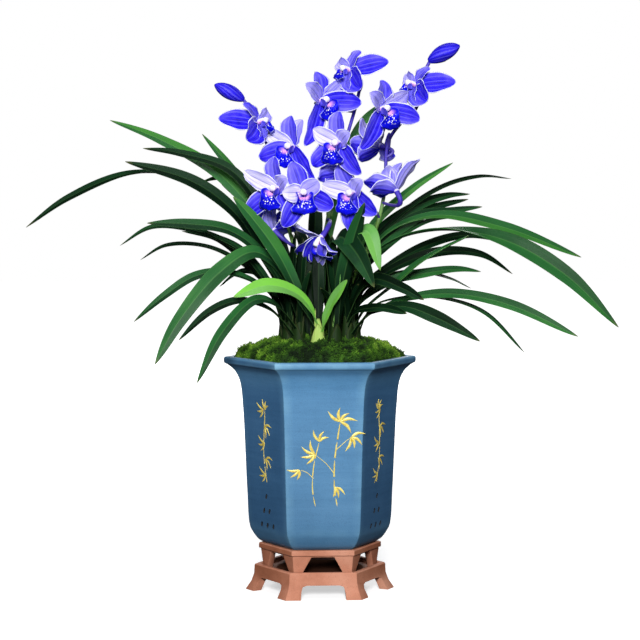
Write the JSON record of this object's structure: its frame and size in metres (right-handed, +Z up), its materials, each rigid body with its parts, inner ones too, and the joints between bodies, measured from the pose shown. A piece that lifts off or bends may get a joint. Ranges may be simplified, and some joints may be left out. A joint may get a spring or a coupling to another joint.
{
  "type": "potted cymbidium orchid in bloom",
  "caption": "Flowering orchid with arching strap leaves and sprays of blue blooms in a tall six-sided blue pot, on a foot ring and a low footed stand.",
  "frame": {"origin": "on the pot's vertical axis, at the level of the stand's feet", "axes": "+Z up; the pot's engraved front face looks along -Y; +X is to the viewer's right, along the widest spread of the leaves"},
  "size_m": [0.5543, 0.2226, 0.5075],
  "materials": {
    "terracotta": "matte",
    "blue_glaze": "satin",
    "gravel": "matte",
    "bark": "matte",
    "moss": "matte",
    "leaf": "satin",
    "stem": "satin",
    "petal": "satin",
    "lip": "satin"
  },
  "bodies": {
    "root": {"stand": "terracotta", "foot_ring": "terracotta", "pot": "blue_glaze", "drainage_gravel": "gravel", "bark_medium": "bark", "moss": "moss", "growth_front": "leaf", "growth_front_left": "leaf", "growth_left_front": "leaf", "growth_left": "leaf", "growth_left_back": "leaf", "growth_back_left": "leaf", "growth_back": "leaf", "growth_back_right": "leaf", "growth_right_back": "leaf", "growth_right": "leaf", "growth_right_front": "leaf", "growth_front_right": "leaf", "growth_front_centre": "leaf", "spike_left": "stem", "spike_centre": "stem", "spike_right": "stem", "bloom_left_1": "petal", "bloom_left_1_lip": "lip", "bloom_left_2": "petal", "bloom_left_2_lip": "lip", "bloom_left_3": "petal", "bloom_left_3_lip": "lip", "bloom_left_4": "petal", "bloom_left_4_lip": "lip", "bloom_left_5": "petal", "bloom_left_5_lip": "lip", "bloom_centre_1": "petal", "bloom_centre_1_lip": "lip", "bloom_centre_2": "petal", "bloom_centre_2_lip": "lip", "bloom_centre_3": "petal", "bloom_centre_3_lip": "lip", "bloom_centre_4": "petal", "bloom_centre_4_lip": "lip", "bloom_centre_5": "petal", "bloom_centre_5_lip": "lip", "bloom_right_1": "petal", "bloom_right_1_lip": "lip", "bloom_right_2": "petal", "bloom_right_2_lip": "lip", "bloom_right_3": "petal", "bloom_right_3_lip": "lip", "bloom_right_4": "petal", "bloom_right_4_lip": "lip", "bloom_right_5": "petal", "bloom_right_5_lip": "lip", "bud_left": "petal", "bud_right": "petal"}
  },
  "joints": []
}
